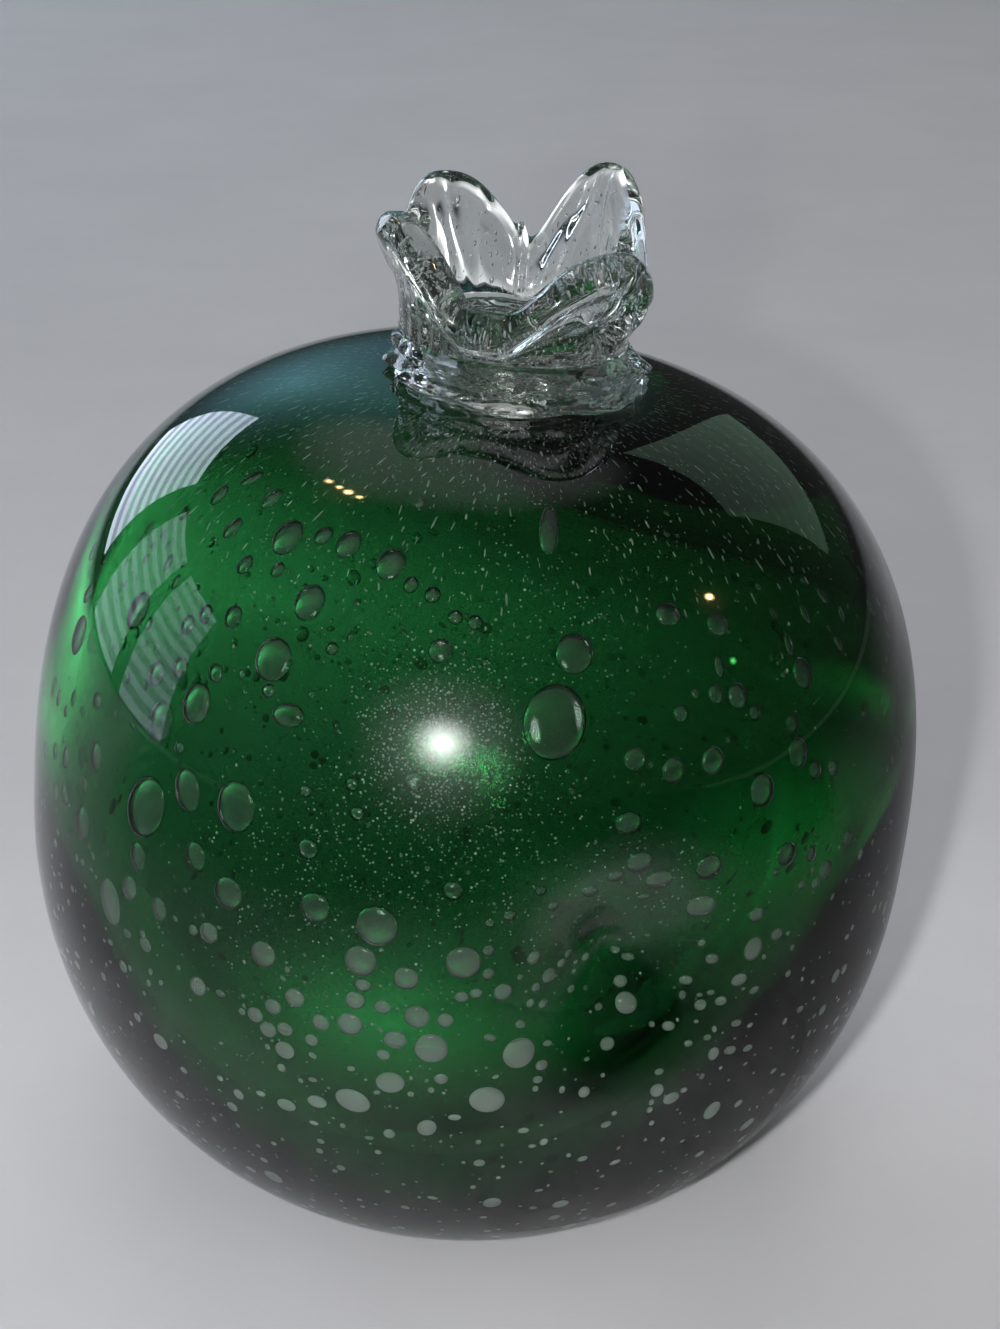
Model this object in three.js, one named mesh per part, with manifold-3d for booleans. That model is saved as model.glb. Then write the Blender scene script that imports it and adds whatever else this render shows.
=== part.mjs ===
// Blown-glass pomegranate: a green bubble cased in clear glass, with a clear four-lobed crown.
// Millimetres, +Z up, front along -Y. The ground foot rests on Z = 0.
import * as THREE from 'three';
import { mergeVertices } from 'three/addons/utils/BufferGeometryUtils.js';
import Module from 'manifold-3d';

const wasm = await Module();
wasm.setup();

// Globe, measured along its own axis from its widest ring
const GLOBE_RADIUS = 55;
const SHOULDER_RISE = 57.4;
const BOWL_DROP = 54.8;
const SHOULDER_POWER = 2.6;
const BOWL_POWER = 2.1;
const GLOBE_LEAN = 5.4;
const FOOT_GRIND = 3.5;
const SEAT_DIP = 1.8;
const SEAT_REACH = 20;

// Glass layers: thickness at the widest ring, under the crown and over the foot
const CASING_SIDE = 1.9;
const CASING_TOP = 3;
const CASING_FOOT = 5;
const GREEN_SIDE = 1.1;
const GREEN_TOP = 2.6;
const GREEN_FOOT = 2.1;
const BLOW_HOLE_RADIUS = 5;
const FUSED_GAP = 0.3;

// Dent pressed into the front of the globe, placed by bearing and by angle above the widest ring
const DENT_BEARING = -73;
const DENT_ELEVATION = 9;
const DENT_DEPTH = 5;
const DENT_REACH = 12;

// Crown. The collar wraps the cup's stub, and the cup's neck rests on the collar.
const NECK_RADIUS = 13.6;
const NECK_RISE = 5.6;
const LIP_THICKNESS = 5;
const FLOOR_THICKNESS = 5.7;
const FLOOR_FILLET = 1.5;
const COLLAR_HEIGHT = 5.4;
const COLLAR_BULGE = 1.7;
const COLLAR_LAP = 2.6;
const COLLAR_FRONT_FLAT = 1.4;
const COLLAR_LUMP = 0.35;
const SEAM_BEARING = -62;
const SEAM_DEPTH = 0.8;
const SEAM_WIDTH = 9;

// The collar's outside, as shares of its height and bulge, and the waves that make it lumpy
const COLLAR_UNDERCUT = 0.6;
const COLLAR_OUTSIDE = [[0.2, 1], [0.42, 0.8], [0.67, 0.4], [1, 0]];
const COLLAR_WAVES = [{ count: 4, phase: 20 }, { count: 7, phase: -50 }];

// Lobes: bearing and half width in degrees, rise above the lip, reach outwards at the tip
const LOBES = [
  { bearing: -162, spread: 44, rise: 8.8, reach: 4.2 },
  { bearing: 134, spread: 42, rise: 10.8, reach: 3 },
  { bearing: 47, spread: 43, rise: 13, reach: 2.6 },
  { bearing: -50, spread: 56, rise: 8, reach: 2.4 },
];
const LOBE_FULLNESS = 2.4;

const GLOBE_STEPS = 48;
const LAYER_STEPS = 18;
const CROWN_STEPS = 60;
const WALL_STEPS = 4;
const RIM_STEPS = 6;

const radians = THREE.MathUtils.degToRad;

// One point of a layer's outline, at an angle from the top of the axis.
function layerPoint(layer, angle) {
  const upper = angle < Math.PI / 2;
  const power = upper ? SHOULDER_POWER : BOWL_POWER;
  const height = upper ? layer.rise : -layer.drop;
  const across = layer.radius * Math.max(Math.sin(angle), 0) ** (2 / power);
  const up = height * Math.abs(Math.cos(angle)) ** (2 / power);
  return new THREE.Vector2(across, upper ? up - seatDip(across) : up);
}

// The shallow hollow that the crown sits in.
function seatDip(distance) {
  return SEAT_DIP * Math.exp(-((distance / SEAT_REACH) ** 2));
}

// Outline of a layer from the foot, on the axis, up to the edge of the blow hole. All layers
// take the same angles, so that their facets lie one inside the other.
function layerOutline(layer) {
  const holeAngle = Math.asin((BLOW_HOLE_RADIUS / GLOBE_RADIUS) ** (SHOULDER_POWER / 2));
  const outline = [new THREE.Vector2(0, -layer.drop)];
  for (let step = 1; step <= LAYER_STEPS; step += 1) {
    const share = step / LAYER_STEPS;
    outline.push(layerPoint(layer, Math.PI + (holeAngle - Math.PI) * share));
  }
  return outline;
}

function shrunk(layer, side, top, foot) {
  return { radius: layer.radius - side, rise: layer.rise - top, drop: layer.drop - foot };
}

// Revolves an outline about Z and returns it as a closed geometry that shares its vertices.
function revolve(outline, steps) {
  const lathe = new THREE.LatheGeometry(outline, steps);
  lathe.rotateX(Math.PI / 2);
  return closed(lathe);
}

// Merges the seam and the axis points, and leaves out the faces that fold to a line there.
function closed(geometry) {
  geometry.deleteAttribute('normal');
  geometry.deleteAttribute('uv');
  const merged = mergeVertices(geometry, 1e-4);
  const source = merged.index.array;
  const kept = [];
  for (let at = 0; at < source.length; at += 3) {
    const [a, b, c] = [source[at], source[at + 1], source[at + 2]];
    if (a !== b && b !== c && c !== a) {
      kept.push(a, b, c);
    }
  }
  merged.setIndex(kept);
  return merged;
}

// Moves every vertex of a geometry in place.
function reshape(geometry, move) {
  const position = geometry.attributes.position;
  const point = new THREE.Vector3();
  for (let at = 0; at < position.count; at += 1) {
    point.fromBufferAttribute(position, at);
    move(point);
    position.setXYZ(at, point.x, point.y, point.z);
  }
  return geometry;
}

const dentAxis = new THREE.Vector3(
  Math.cos(radians(DENT_ELEVATION)) * Math.cos(radians(DENT_BEARING)),
  Math.cos(radians(DENT_ELEVATION)) * Math.sin(radians(DENT_BEARING)),
  Math.sin(radians(DENT_ELEVATION)),
);

// The push depends on direction alone, so every layer moves alike and the walls keep their thickness.
function pressDent(point) {
  const off = GLOBE_RADIUS * dentAxis.angleTo(point);
  const push = DENT_DEPTH * Math.exp(-((off / DENT_REACH) ** 2));
  point.addScaledVector(dentAxis, -push);
}

function shell(outer, inner) {
  const outline = [...layerOutline(outer), ...layerOutline(inner).reverse()];
  return reshape(revolve(outline, GLOBE_STEPS), pressDent);
}

// A shell whose outside is cut into the same triangles as the inside of the shell around it.
function liner(outer, inner) {
  const outline = [...layerOutline(inner), ...layerOutline(outer).reverse()];
  const lined = reshape(revolve(outline, GLOBE_STEPS), pressDent);
  const faces = lined.index.array;
  for (let at = 0; at < faces.length; at += 3) {
    [faces[at], faces[at + 1]] = [faces[at + 1], faces[at]];
  }
  return lined;
}

// Height, clear of the globe's top, at a distance from its axis, where the crown's pieces sit.
function seatHeight(distance) {
  const fall = (distance / GLOBE_RADIUS) ** SHOULDER_POWER;
  const top = SHOULDER_RISE * (1 - fall) ** (1 / SHOULDER_POWER);
  return top - seatDip(distance) + FUSED_GAP;
}

const seat = SHOULDER_RISE - SEAT_DIP;
const stubRadius = NECK_RADIUS - COLLAR_LAP;
const collarBore = stubRadius + FUSED_GAP;
const collarTop = seat + COLLAR_HEIGHT;
const cupBore = NECK_RADIUS - LIP_THICKNESS;

function bearingOf(point) {
  return THREE.MathUtils.radToDeg(Math.atan2(point.y, point.x));
}

// Smallest turn between two bearings, in degrees.
function turnBetween(a, b) {
  return Math.abs(THREE.MathUtils.euclideanModulo(a - b + 180, 360) - 180);
}

function moveOut(point, distance) {
  const radius = Math.hypot(point.x, point.y);
  if (radius > 0) {
    point.x *= (radius + distance) / radius;
    point.y *= (radius + distance) / radius;
  }
}

// The collar's outside is lumpy, flatter at the front, and nicked where the wrap's ends meet.
function roughenCollar(point) {
  const outside = (Math.hypot(point.x, point.y) - collarBore) / (COLLAR_LAP + COLLAR_BULGE);
  const bearing = bearingOf(point);
  let lump = 0;
  for (const wave of COLLAR_WAVES) {
    lump += Math.cos(radians(wave.count * bearing + wave.phase));
  }
  const front = Math.max(Math.cos(radians(bearing + 90)), 0) ** 2;
  const seam = Math.exp(-((turnBetween(bearing, SEAM_BEARING) / SEAM_WIDTH) ** 2));
  const change = COLLAR_LUMP * lump - COLLAR_FRONT_FLAT * front - SEAM_DEPTH * seam;
  moveOut(point, change * outside);
}

function collarShape() {
  const underEdge = NECK_RADIUS + COLLAR_UNDERCUT * COLLAR_BULGE;
  const outline = [
    new THREE.Vector2(collarBore, seatHeight(collarBore)),
    new THREE.Vector2(underEdge, seatHeight(underEdge)),
  ];
  for (const [up, out] of COLLAR_OUTSIDE) {
    outline.push(new THREE.Vector2(NECK_RADIUS + out * COLLAR_BULGE, seat + up * COLLAR_HEIGHT));
  }
  outline.push(new THREE.Vector2(collarBore, collarTop));
  outline.push(outline[0].clone());
  return reshape(revolve(outline, CROWN_STEPS), roughenCollar);
}

// Height and outward reach that the lobes add at a bearing.
function lobesAt(bearing) {
  let rise = 0;
  let reach = 0;
  for (const lobe of LOBES) {
    const share = Math.min(turnBetween(bearing, lobe.bearing) / lobe.spread, 1);
    const swell = (1 - share ** LOBE_FULLNESS) ** 2;
    rise += lobe.rise * swell;
    reach += lobe.reach * swell;
  }
  return { rise, reach };
}

function cupShape() {
  const shoulder = collarTop + FUSED_GAP;
  const rimRadius = LIP_THICKNESS / 2;
  const rimMiddle = cupBore + rimRadius;
  const rimStart = collarTop + NECK_RISE - rimRadius;
  const floor = seatHeight(0) + FLOOR_THICKNESS;
  const outline = [
    new THREE.Vector2(0, seatHeight(0)),
    new THREE.Vector2(stubRadius / 2, seatHeight(stubRadius / 2)),
    new THREE.Vector2(stubRadius, seatHeight(stubRadius)),
    new THREE.Vector2(stubRadius, shoulder),
  ];
  for (let step = 0; step < WALL_STEPS; step += 1) {
    const height = shoulder + ((rimStart - shoulder) * step) / WALL_STEPS;
    outline.push(new THREE.Vector2(NECK_RADIUS, height));
  }
  for (let step = 0; step <= RIM_STEPS; step += 1) {
    const turn = (Math.PI * step) / RIM_STEPS;
    const across = rimMiddle + rimRadius * Math.cos(turn);
    outline.push(new THREE.Vector2(across, rimStart + rimRadius * Math.sin(turn)));
  }
  for (let step = 1; step < WALL_STEPS; step += 1) {
    const height = rimStart + ((floor - rimStart) * step) / (WALL_STEPS + 1);
    outline.push(new THREE.Vector2(cupBore, height));
  }
  outline.push(new THREE.Vector2(cupBore - FLOOR_FILLET, floor));
  outline.push(new THREE.Vector2(0, floor));
  return reshape(revolve(outline, CROWN_STEPS), (point) => {
    const lobes = lobesAt(bearingOf(point));
    const onWall = THREE.MathUtils.clamp((point.z - shoulder) / (rimStart - shoulder), 0, 1);
    if (Math.hypot(point.x, point.y) > cupBore - FLOOR_FILLET / 2) {
      point.z += lobes.rise * onWall;
      moveOut(point, lobes.reach * onWall ** 2);
    }
  });
}

// Leans a shape made about the globe's own axis and stands it on the ground foot.
function stand(geometry) {
  geometry.rotateY(radians(GLOBE_LEAN));
  geometry.translate(0, 0, BOWL_DROP - FOOT_GRIND);
  return geometry;
}

function toSolid(geometry) {
  return new wasm.Manifold(new wasm.Mesh({
    numProp: 3,
    vertProperties: new Float32Array(geometry.attributes.position.array),
    triVerts: new Uint32Array(geometry.index.array),
  }));
}

function toGeometry(solid) {
  const mesh = solid.getMesh();
  const geometry = new THREE.BufferGeometry();
  geometry.setAttribute('position', new THREE.BufferAttribute(mesh.vertProperties, 3));
  geometry.setIndex(new THREE.BufferAttribute(mesh.triVerts, 1));
  return geometry;
}

// Everything below Z = 0 is ground away, which leaves the flat foot.
function grindFoot(geometry) {
  const size = 4 * GLOBE_RADIUS;
  const wheel = new THREE.BoxGeometry(size, size, size);
  wheel.translate(0, 0, -size / 2);
  return toGeometry(toSolid(geometry).subtract(toSolid(closed(wheel))));
}

const casingOuter = { radius: GLOBE_RADIUS, rise: SHOULDER_RISE, drop: BOWL_DROP };
const casingInner = shrunk(casingOuter, CASING_SIDE, CASING_TOP, CASING_FOOT);
const greenOuter = shrunk(casingInner, FUSED_GAP, FUSED_GAP, FUSED_GAP);
const greenInner = shrunk(greenOuter, GREEN_SIDE, GREEN_TOP, GREEN_FOOT);

function glass(color, roughness, opacity) {
  return new THREE.MeshStandardMaterial({ color, roughness, metalness: 0, transparent: true, opacity });
}

const pomegranate = new THREE.Group();

function addPiece(name, geometry, material) {
  geometry.computeVertexNormals();
  const mesh = new THREE.Mesh(geometry, material);
  mesh.name = name;
  pomegranate.add(mesh);
}

addPiece('green_bubble', stand(liner(greenOuter, greenInner)), glass(0x0d5426, 0.04, 0.9));
addPiece('clear_casing', grindFoot(stand(shell(casingOuter, casingInner))), glass(0xb5cfc0, 0.03, 0.3));
addPiece('crown_collar', stand(collarShape()), glass(0xb9beb9, 0.12, 0.55));
addPiece('crown_cup', stand(cupShape()), glass(0xc6cbc7, 0.03, 0.4));

export default pomegranate;
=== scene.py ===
# Looks of the blown-glass pomegranate: a bubbly clear casing over green glass, with a clear crown.
import math

import bpy
import numpy as np
from mathutils import Matrix, Vector, noise


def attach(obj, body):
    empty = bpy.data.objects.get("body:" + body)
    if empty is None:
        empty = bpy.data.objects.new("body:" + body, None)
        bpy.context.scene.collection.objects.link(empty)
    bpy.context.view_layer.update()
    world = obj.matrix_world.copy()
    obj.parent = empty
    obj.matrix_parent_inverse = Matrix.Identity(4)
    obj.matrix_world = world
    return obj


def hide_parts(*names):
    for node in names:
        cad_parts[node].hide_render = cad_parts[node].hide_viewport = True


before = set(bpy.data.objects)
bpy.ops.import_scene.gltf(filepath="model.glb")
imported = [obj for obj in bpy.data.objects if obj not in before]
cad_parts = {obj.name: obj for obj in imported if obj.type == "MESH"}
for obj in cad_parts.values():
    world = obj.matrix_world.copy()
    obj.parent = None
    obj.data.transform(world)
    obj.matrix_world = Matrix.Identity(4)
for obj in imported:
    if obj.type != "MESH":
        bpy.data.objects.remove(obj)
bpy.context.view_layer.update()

# All sizes below are in millimetres and degrees, and leave the script in metres.
MM = 0.001
TURN = 2 * math.pi
TINY = 1e-6

# Globe, measured along its own axis from its widest ring
GLOBE_RADIUS = 55
SHOULDER_RISE = 57.4
BOWL_DROP = 54.8
SHOULDER_POWER = 2.6
BOWL_POWER = 2.1
GLOBE_LEAN = math.radians(5.4)
FOOT_GRIND = 3.5
SEAT_DIP = 1.8
SEAT_REACH = 20
CENTRE_HEIGHT = BOWL_DROP - FOOT_GRIND

# Glass layers. The drawn inset makes the casing a little slimmer than the CAD's
FUSED_SEAM = 0.03
COLOUR_DEPTH = 1.1
DRAWN_INSET = 0.2
COLOUR_SHIFT = 0.3
# The cavity, off centre so that the glass is thickest at the lower right: radius, rise and drop
CAVITY = (50.7, 44.2, 54.6)
CAVITY_PLACE = (-0.3, 0, 7.2)
CAVITY_TILT = math.radians(8.2)

# Dent in the front of the globe, and the small navel at its bottom
DENT_BEARING = math.radians(-73)
DENT_ELEVATION = math.radians(9)
DENT_DEPTH = 4.8
DENT_REACH = 9.6
DENT_TRAIL = 0.5
NAVEL_DEPTH = 3.2
NAVEL_REACH = 6
NAVEL_TRAIL = 0.25
NAVEL_TIP = 0.8
NAVEL_LIP = 0.5
NAVEL_LIP_PLACE = 3
NAVEL_LIP_WIDTH = 0.9

# Collar, and its side from the foot up: shares of its height, and shares of its bulge there
NECK_RADIUS = 13.6
COLLAR_HEIGHT = 5.4
COLLAR_BULGE = 1.7
COLLAR_LAP = 2.6
COLLAR_SHARES = (0, 0.16, 0.4, 0.62, 0.86, 1)
COLLAR_BULGES = (0.6, 1.2, 0.4, 0.65, 0.1, -0.6)
# How the collar leaves the round: lumps as waves about the axis with their phases, flats, and a seam.
# A flat is a bearing and a depth. The seam and the other marks are a bearing, a spread and a depth.
COLLAR_UNEVENNESS = 0.8
COLLAR_LUMP = 0.35
COLLAR_LUMPS = [(4, 20), (7, -50)]
COLLAR_FLATS = [(-90, 1.4), (190, 1)]
SEAM = (-62, 9, 0.8)
# Folds: stretch and scale of their noise, depth. Wrinkles: stretch, shift and scale, crest, depth
COLLAR_FOLDS = ((0.8, 0.8, 1.5), 0.36, 1.3)
COLLAR_WRINKLES = [((0.6, 0.6, 1.8), 31, 0.5, 0.25, 1), ((0.8, 0.8, 2), 57, 1.3, 0.2, 0.12)]
WRINKLE_FADE = 0.35

# Cup
NECK_RISE = 6.1
LIP_THICKNESS = 5
FLOOR_THICKNESS = 5.7
FILLET_SHARE = 0.17
# Lobes: bearing, half widths towards lower and higher bearings, rise above the lip, reach outwards
LOBES = [(-162, 44, 43, 8.3, 3.2), (134, 58, 38, 9.7, 3),
         (47, 43, 44, 12.4, 2.6), (-50, 52, 56, 7.5, 2.4)]
LOBE_FULLNESS = 2.4
TIP_THINNING = 0.2
# The bead along the lip, and the recesses under it, outside and inside
BEAD_DEPTH = 1.2
BEAD_SOFTNESS = 2.2
EVEN_RECESS = 0.35
FRONT_RECESS = (-85, 75, 1.05)
INNER_RECESS = 0.8
INNER_SOFTNESS = 7
LIP_ROLL = 1
LIP_ROLL_SPREAD = 0.5
LIP_ROLL_LOSS = 0.6
# Marks of the tools on the wall
SWELL = (-165, 38, 1.1)
SPUR = (90, 2.6, 1.5)
FOLDS = (-138, 17, 0.3)
FOLD_COUNT = 44
RIDGES = (-58, 20, 0.05)
RIDGE_PITCH = 1.0
RIDGE_CROWDING = 4
THUMB = (-43, 12, 1.5)
THUMB_RISE = 4.4
THUMB_HEIGHT = 1.8
# Creases inside the wall: bearing, depth
CREASES = [(57, 0.8), (41, 0.6), (130, 0.8), (147, 0.6), (112, 0.4), (-170, 0.5), (-150, 0.4)]
CREASE_WIDTH = 3.4
CREASE_SWAY = 5
CREASE_BENDS = 4
# Waves of the wall: scale and shift of their noise, depth
CROWN_WAVES = [(0.16, 0, 0.4), (0.4, 17, 0.08)]

# The photograph's frame, in pixels, and the camera that sees the globe as it does
IMAGE_WIDTH = 1000
IMAGE_HEIGHT = 1329
FOCAL_PIXELS = 2345
CAMERA_DISTANCE = 300
CAMERA_ELEVATION = math.radians(29)
CAMERA_YAW = math.radians(0.809)
CAMERA_PITCH = math.radians(-25.89)
SENSOR = 36
CAMERA_CLIP = 10
BISECTIONS = 40

# Bubbles that stand out: pixel across, pixel down, width, and length along the meridian over width
LARGE_BUBBLES = [
    (307, 600, 3.4, 1.2), (336, 607, 3.3, 1.1), (270, 658, 4.3, 1.1), (192, 703, 3.8, 1.2),
    (156, 721, 3.6, 1.3), (152, 673, 2.5, 1.2), (176, 667, 2.2, 1.1), (134, 609, 3.4, 1.3),
    (75, 634, 3.6, 1.3), (141, 808, 5.6, 1.4), (183, 791, 3.7, 1.3), (232, 808, 4.8, 1.2),
    (191, 858, 3, 1.2), (133, 858, 2.7, 1.4), (78, 823, 3.2, 1.4), (91, 756, 2.8, 1.3),
    (285, 715, 3.7, 0.7), (347, 541, 2.7, 1.3), (390, 561, 3.2, 1.2), (440, 649, 2.6, 1),
    (413, 782, 2, 1), (305, 851, 2.4, 1), (241, 843, 2.1, 1), (224, 895, 3.6, 1.1),
    (576, 652, 4, 1.1), (556, 722, 6.6, 1.2), (638, 760, 2.6, 1), (677, 771, 2.7, 1.1),
    (717, 761, 2.8, 1.1), (767, 791, 3.4, 1.1), (720, 693, 2, 1.1), (742, 695, 2.6, 1.1),
    (759, 712, 1.6, 1.1), (803, 753, 3, 1.2), (797, 723, 2, 1.1), (807, 672, 3, 1.2),
    (820, 770, 2, 1.1), (838, 768, 1.9, 1.1), (633, 826, 3, 0.9), (648, 869, 3, 0.9),
    (717, 872, 3.1, 1), (671, 889, 3.1, 0.8), (792, 856, 2.9, 1), (830, 871, 2.2, 1),
    (671, 612, 3, 0.9), (721, 622, 2.7, 1), (205, 935, 2.4, 1.1), (260, 957, 3, 1.1),
    (312, 910, 3.5, 1), (375, 929, 4.7, 1), (359, 964, 3.6, 1), (405, 982, 2.8, 1),
    (464, 967, 3.9, 1), (453, 894, 2.2, 1), (292, 1001, 2.3, 1), (311, 1000, 2.2, 1),
    (270, 1010, 2, 1), (353, 1004, 2.2, 1), (370, 999, 1.8, 1), (381, 1011, 1.9, 0.9),
    (361, 989, 1.8, 0.9), (318, 1026, 2, 1), (348, 1028, 2.8, 1), (334, 1040, 2.1, 0.9),
    (265, 1033, 2, 1), (252, 1018, 1.9, 1), (416, 1021, 2.8, 1), (445, 1025, 1.8, 1),
    (463, 1023, 2.4, 1), (394, 1044, 2.5, 0.9), (431, 1053, 3.7, 1), (458, 1048, 2.4, 1),
    (382, 1059, 1.5, 0.9), (282, 1054, 2.3, 1), (309, 1044, 1.5, 1), (389, 1087, 3.2, 0.9),
    (351, 1105, 4, 0.8), (315, 1106, 2.3, 0.8), (284, 1109, 2.3, 0.8), (373, 1096, 1.6, 0.8),
    (488, 1106, 4, 0.9), (441, 1084, 1.6, 0.9), (125, 889, 2.5, 1.3), (155, 911, 2.2, 1.3),
    (106, 903, 3.8, 1.5), (194, 989, 2.2, 1.1), (523, 1063, 3.8, 1), (645, 1026, 2.5, 1),
    (643, 1008, 1.6, 0.9), (676, 1105, 2, 0.8), (713, 915, 3.2, 0.9), (690, 893, 2.9, 0.8),
    (550, 526, 2.2, 3), (285, 534, 3.4, 1.3), (256, 534, 2.8, 1.3), (763, 918, 1.9, 0.9),
    (723, 968, 1.6, 0.9), (541, 970, 1.8, 1), (490, 956, 1.5, 1), (230, 525, 1.9, 1.5),
    (322, 532, 2, 1.2), (242, 562, 1.8, 1.3), (275, 567, 1.6, 1.2), (282, 582, 2, 1.2),
    (410, 582, 1.6, 1.2), (432, 592, 1.7, 1.1), (412, 562, 1.6, 1.2), (217, 492, 1.8, 1.6),
    (270, 495, 1.9, 1.6), (250, 475, 1.6, 1.8), (230, 615, 2.2, 1.2), (202, 612, 1.8, 1.2),
    (212, 672, 1.9, 1.1), (215, 710, 1.6, 1.1), (330, 647, 1.4, 1), (455, 615, 1.6, 1),
    (475, 620, 1.6, 1), (90, 550, 1.7, 1.4), (85, 592, 1.9, 1.4), (62, 757, 2, 1.5),
    (80, 785, 1.6, 1.4), (42, 685, 1.8, 1.6), (55, 697, 1.5, 1.5), (52, 792, 1.8, 1.5),
    (355, 815, 1.6, 1), (350, 785, 1.5, 1), (260, 800, 1.4, 1), (302, 792, 1.3, 1),
    (265, 690, 1.5, 1), (625, 885, 1.9, 0.8), (600, 902, 2.2, 0.7), (545, 897, 1.3, 0.9),
    (512, 921, 1.5, 0.9), (491, 928, 1.2, 0.9), (560, 915, 1.5, 0.8), (462, 1002, 1.6, 0.9),
    (477, 999, 1.4, 0.9), (620, 1062, 1.8, 0.9), (746, 985, 1.9, 0.8), (700, 994, 1.5, 0.8),
    (729, 1008, 1.5, 0.8), (742, 1028, 1.4, 0.7), (681, 1040, 1.5, 0.8), (735, 1055, 1.7, 0.7),
    (752, 1052, 1.4, 0.7), (782, 937, 1.7, 0.9), (547, 1077, 1.5, 0.9), (575, 984, 1.2, 0.9),
    (525, 1035, 1.3, 0.8), (552, 1020, 1.3, 0.9), (607, 986, 1.1, 0.9), (587, 1013, 1, 0.9),
    (660, 911, 1.6, 0.6), (642, 980, 1.2, 0.9), (820, 885, 1.5, 0.9), (806, 887, 1.3, 0.9),
    (667, 1082, 1.1, 0.8), (610, 1132, 1.3, 0.7), (617, 1167, 1.4, 0.6), (542, 1090, 1.2, 0.8),
    (525, 1137, 1.3, 0.7),
]
LARGE_DEPTH = 0.9
LARGE_SWAY = 0.2
# A range below is its two ends and, where it isn't even, the power that crowds it towards the first
# Clouds of seeds: pixel across, pixel down, spread in pixels, count
SEED_CLOUDS = [(437, 738, 48, 1300), (300, 850, 60, 380), (480, 880, 60, 260), (300, 540, 70, 180),
               (560, 620, 60, 160), (650, 890, 70, 160), (330, 1010, 90, 260), (560, 480, 60, 200)]
CLOUD_HALF_WIDTHS = (0.07, 0.17, 2)
CLOUD_DEPTHS = (0.4, 1.5)
# Bubbles that sparkle round the glare
GLARE_PIXEL = (443, 745)
SPARK_COUNT = 260
SPARK_SPREAD = 55
SPARK_HALF_WIDTHS = (0.13, 0.4)
SPARK_DEPTHS = (0.4, 1)
# Voids scattered near the crown: group, count, ranges of the angle from the top, of the half width and
# of the length over width (None for round ones), sway of the roll, range of the depth
UPPER_VOIDS = [
    ("foam", 2200, (0, 10.5, 0.5), (0.14, 0.34, 2), None, 0, (0.2, 1)),
    ("streaks", 3800, (17, 45, 1.8), (0.05, 0.15, 2), (2, 8), 0.15, (0.4, 1.5)),
    ("bubbles", 190, (31, 52), (0.25, 0.75, 1.5), (1.2, 2.4), 0.2, (0.6, 1.2)),
]
# Voids scattered all over the globe, as above, but with a range of the angle's cosine
GLOBE_VOIDS = [
    ("bubbles", 420, (-0.97, 0.85), (0.35, 1.25, 2.2), (0.9, 1.3), 0.3, (0.6, 1.3)),
    ("small_bubbles", 1300, (-0.9, 0.2), (0.18, 0.78, 2.2), (0.6, 1.1), 0.3, (0.5, 1.2)),
    ("by_size", 1300, (-0.98, 0.9), (0.14, 0.4), (0.9, 1.6), 0.3, (0.4, 1.5)),
    ("seeds", 1200, (-0.98, 0.92), (0.06, 0.12), None, 0, (0.4, 1.5)),
]
SMALL_BUBBLE = 0.2
LOWEST_BUBBLE = 0.4
LEAST_COVER = 0.15
LEAST_GAP = 0.05
FLATNESS = 0.3
FLATTENING = 0.6
# Meshes of the voids: least half width, columns, rows
BALL_STEPS = [(1.5, 28, 12), (0.9, 20, 9), (0.4, 12, 6), (0.16, 8, 5), (0, 6, 4)]
# Seeds in the floor and in the wall of the cup
CUP_SEED_COUNT = 1500
CUP_SEED_REACH = 10
CUP_SEED_HALF_WIDTHS = (0.1, 0.28, 2)
CUP_SEED_COVER_BELOW = 0.8
CUP_SEED_COVER_ABOVE = 0.5
WALL_SEED_COUNT = 1100
WALL_SEED_HALF_WIDTHS = (0.05, 0.18, 3)
WALL_SEED_HEIGHTS = (0.1, 1)
WALL_SEED_SHIFT = 0.5
WALL_SEED_LENGTHS = (1, 3.5)
CUP_SEED_BALL = (8, 5)
# Heights between which the bubbles' walls change from milky to clear, and how clear each is. The milky
# walls low down are a painted reflection: they stand for the pale floor that the lowest bubbles mirror
FLOOR_REFLECTION_BELOW = 40
CLEAR_ABOVE = 66
FLOOR_REFLECTION_CLEARNESS = 0.6
TOP_CLEARNESS = 0.975

rng = np.random.default_rng(11)


def unit(vectors):
    return vectors / np.linalg.norm(vectors, axis=-1, keepdims=True)


def grown(layer, wall):
    return tuple(size + wall for size in layer)


CASING_OUTER = (GLOBE_RADIUS - DRAWN_INSET, SHOULDER_RISE, BOWL_DROP)
GREEN_INNER = grown(CAVITY, FUSED_SEAM)
GREEN_OUTER = grown(GREEN_INNER, COLOUR_DEPTH)


def around(across, bearing, up):
    """Points at distances from the axis, bearings about it and heights."""
    return np.stack(np.broadcast_arrays(across * np.cos(bearing), across * np.sin(bearing), up), -1)


def near(value, middle, width):
    """One at the middle, fading to nothing over the width."""
    return np.exp(-(((value - middle) / width) ** 2))


def rising(value, start, softness):
    """Nothing below the start, rising to one over the softness."""
    return np.clip((value - start) / softness, 0, 1)


def eased(share):
    return share ** 2 * (3 - 2 * share)


def turn_from(bearing, middle):
    """Degrees from a middle, given in degrees, to a bearing in radians."""
    return np.degrees((bearing - np.radians(middle) + math.pi) % TURN - math.pi)


def mark(bearing, middle, spread, depth):
    """A mark that is deepest at its middle and fades over its spread, both in degrees."""
    return depth * near(turn_from(bearing, middle), 0, spread)


DENT_AXIS = around(math.cos(DENT_ELEVATION), DENT_BEARING, math.sin(DENT_ELEVATION))
DENT_DOWN = around(math.sin(DENT_ELEVATION), DENT_BEARING, -math.cos(DENT_ELEVATION))


def seat_dip(across):
    """The shallow hollow that the crown sits in."""
    return SEAT_DIP * near(across, 0, SEAT_REACH)


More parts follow.
